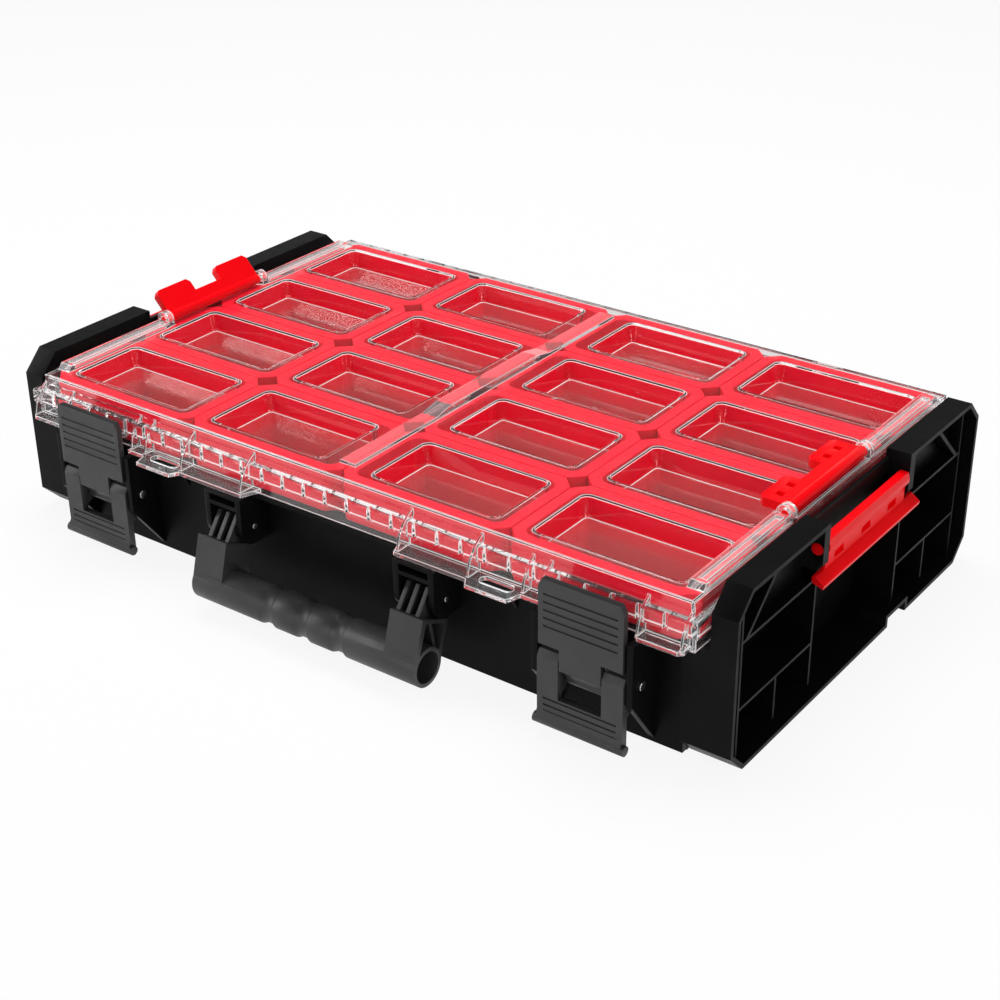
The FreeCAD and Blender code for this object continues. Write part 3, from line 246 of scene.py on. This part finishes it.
sides = ("left", "right")
grey_nylon = moulded("grey_nylon", low=(0.019, 0.019, 0.02), high=(0.029, 0.029, 0.03),
                     rough=(0.4, 0.52), grain=1800, bite=0.16)
steel = moulded("bright_steel", low=(0.5, 0.5, 0.51), high=(0.62, 0.62, 0.63),
                rough=(0.2, 0.32), grain=600, bite=0.06, metal=1.0)
for side in sides:
    dress(f"latch_lever_{side}", f"latch_lever_{side}", grey_nylon, round_over=0.0006)
    dress(f"latch_plate_{side}", f"latch_plate_{side}", grey_nylon, round_over=0.0005)
    dress(f"latch_pin_{side}", "base", steel, round_over=0.0003)


# The handle and the hinge pins: a hollow scalloped grip between two ribbed arms, in the latches' grey nylon.
# It swings on a steel pin in each bracket of the tub, and two more steel pins at the back carry the lid.

dress("handle", "handle", grey_nylon, round_over=0.0009, steps=3)
for side in sides:
    dress(f"handle_pin_{side}", "base", steel, round_over=0.0003)
    dress(f"hinge_pin_{side}", "base", steel, round_over=0.0003)


# The stacking clips: one pair folds on the lid's ends, and one pair hangs in ears on the end frames.
# Each is a single moulding in red nylon, a little duller than the bins.

red_nylon = moulded("red_nylon", low=(0.93, 0.0008, 0.004), high=(0.97, 0.001, 0.006),
                    rough=(0.36, 0.46), grain=1200, bite=0.08, shine=0.2)
for side in sides:
    dress(f"lid_clip_{side}", f"lid_clip_{side}", red_nylon, round_over=0.0007, steps=3)
    dress(f"side_clip_{side}", f"side_clip_{side}", red_nylon, round_over=0.0006, steps=3)


# The studio: a round sweep of white paper whose rim turns up, lit by a large soft box above, a strip at
# the left, and fills at the right and the front. Seen directly, in a reflection or through the lid, the paper
# is near white, and the soft box above stays out of reflections.

def sweep(name, level, bend, rise, low, around=120, steps=20):
    """A round studio sweep: a level disc at the height low, out to the radius level, whose rim turns up
    through a quarter ellipse that is bend wide and rise high."""
    turn = np.linspace(0, 2 * np.pi, around, endpoint=False)
    climb = np.linspace(0, np.pi / 2, steps)[:, None]
    reach = level + bend * np.sin(climb)
    height = low + rise * (1 - np.cos(climb)) + 0 * turn
    points = np.stack([reach * np.cos(turn), reach * np.sin(turn), height], axis=-1).reshape(-1, 3)
    ring = np.arange(around)
    following = (ring + 1) % around
    start = np.arange(steps - 1)[:, None] * around
    quads = np.stack([start + ring, start + around + ring, start + around + following, start + following],
                     axis=-1).reshape(-1, 4)
    mesh = bpy.data.meshes.new(name)
    mesh.from_pydata(points.tolist(), [], [ring.tolist()] + quads.tolist())
    mesh.polygons.foreach_set("use_smooth", np.ones(len(mesh.polygons), dtype=bool))
    piece = bpy.data.objects.new(name, mesh)
    bpy.context.scene.collection.objects.link(piece)
    return piece


def shining_paper(name, tone, shown):
    """Matt paper of one grey tone. Rays from the camera, off a reflection or through the lid see a white glow
    in the share shown, and the rest of the paper, which keeps the shadow."""
    material = bpy.data.materials.new(name)
    material.use_nodes = True
    tree = material.node_tree
    matt = tree.nodes["Principled BSDF"]
    matt.inputs["Base Color"].default_value = (tone, tone, tone, 1)
    matt.inputs["Roughness"].default_value = 0.9
    glow = wired(tree, "Emission", {"Strength": 1.0})
    path = wired(tree, "LightPath")
    direct = greater(tree, path.outputs["Is Camera Ray"], path.outputs["Is Glossy Ray"])
    seen = times(tree, greater(tree, direct, path.outputs["Is Transmission Ray"]), shown)
    finish = mixed(tree, seen, matt.outputs["BSDF"], glow.outputs["Emission"])
    tree.links.new(finish, tree.nodes["Material Output"].inputs["Surface"])
    return material


floor = sweep("floor", level=7, bend=2.5, rise=2.9, low=-0.0005)
floor.data.materials.append(shining_paper("white_paper", tone=0.86, shown=0.9))

ambient_strength = 0.1
world = bpy.data.worlds.new("studio")
bpy.context.scene.world = world
world.use_nodes = True
sky = world.node_tree.nodes["Background"]
sky.inputs["Color"].default_value = (1, 1, 1, 1)
sky.inputs["Strength"].default_value = ambient_strength

case_middle = Vector((0, 0, 0.05))


def softbox(name, place, width, height, power):
    """A rectangular lamp at a place, facing the middle of the case."""
    lamp = bpy.data.lights.new(name, "AREA")
    lamp.shape = "RECTANGLE"
    lamp.size = width
    lamp.size_y = height
    lamp.energy = power
    holder = bpy.data.objects.new(name, lamp)
    holder.location = place
    holder.rotation_euler = (case_middle - Vector(place)).to_track_quat("-Z", "Y").to_euler()
    bpy.context.scene.collection.objects.link(holder)
    return holder


overhead = softbox("overhead", (-0.3, 0.5, 2.0), width=1.6, height=1.2, power=40)
overhead.visible_glossy = False
softbox("left_strip", (-1.9, -1.0, 1.0), width=0.8, height=1.4, power=16)
softbox("right_fill", (2.2, -0.5, 1.1), width=1.0, height=0.8, power=16)
softbox("front_fill", (0.0, -2.2, 0.9), width=1.4, height=0.8, power=10)


# The camera stands where the photograph was taken from. Its place in metres, its turn in degrees and its
# focal length as a multiple of the sensor's width were fitted to the photograph.

camera_place = (0.70366, -0.93666, 0.65171)
camera_turn = (61.799, 0.520, 36.268)
focal_ratio = 1.85212
lens = bpy.data.cameras.new("photo_lens")
lens.sensor_width = 36
lens.lens = lens.sensor_width * focal_ratio
camera = bpy.data.objects.new("photo_camera", lens)
camera.location = camera_place
camera.rotation_euler = Euler(np.radians(camera_turn))
bpy.context.scene.collection.objects.link(camera)
bpy.context.scene.camera = camera
bpy.context.scene.view_settings.view_transform = "Standard"
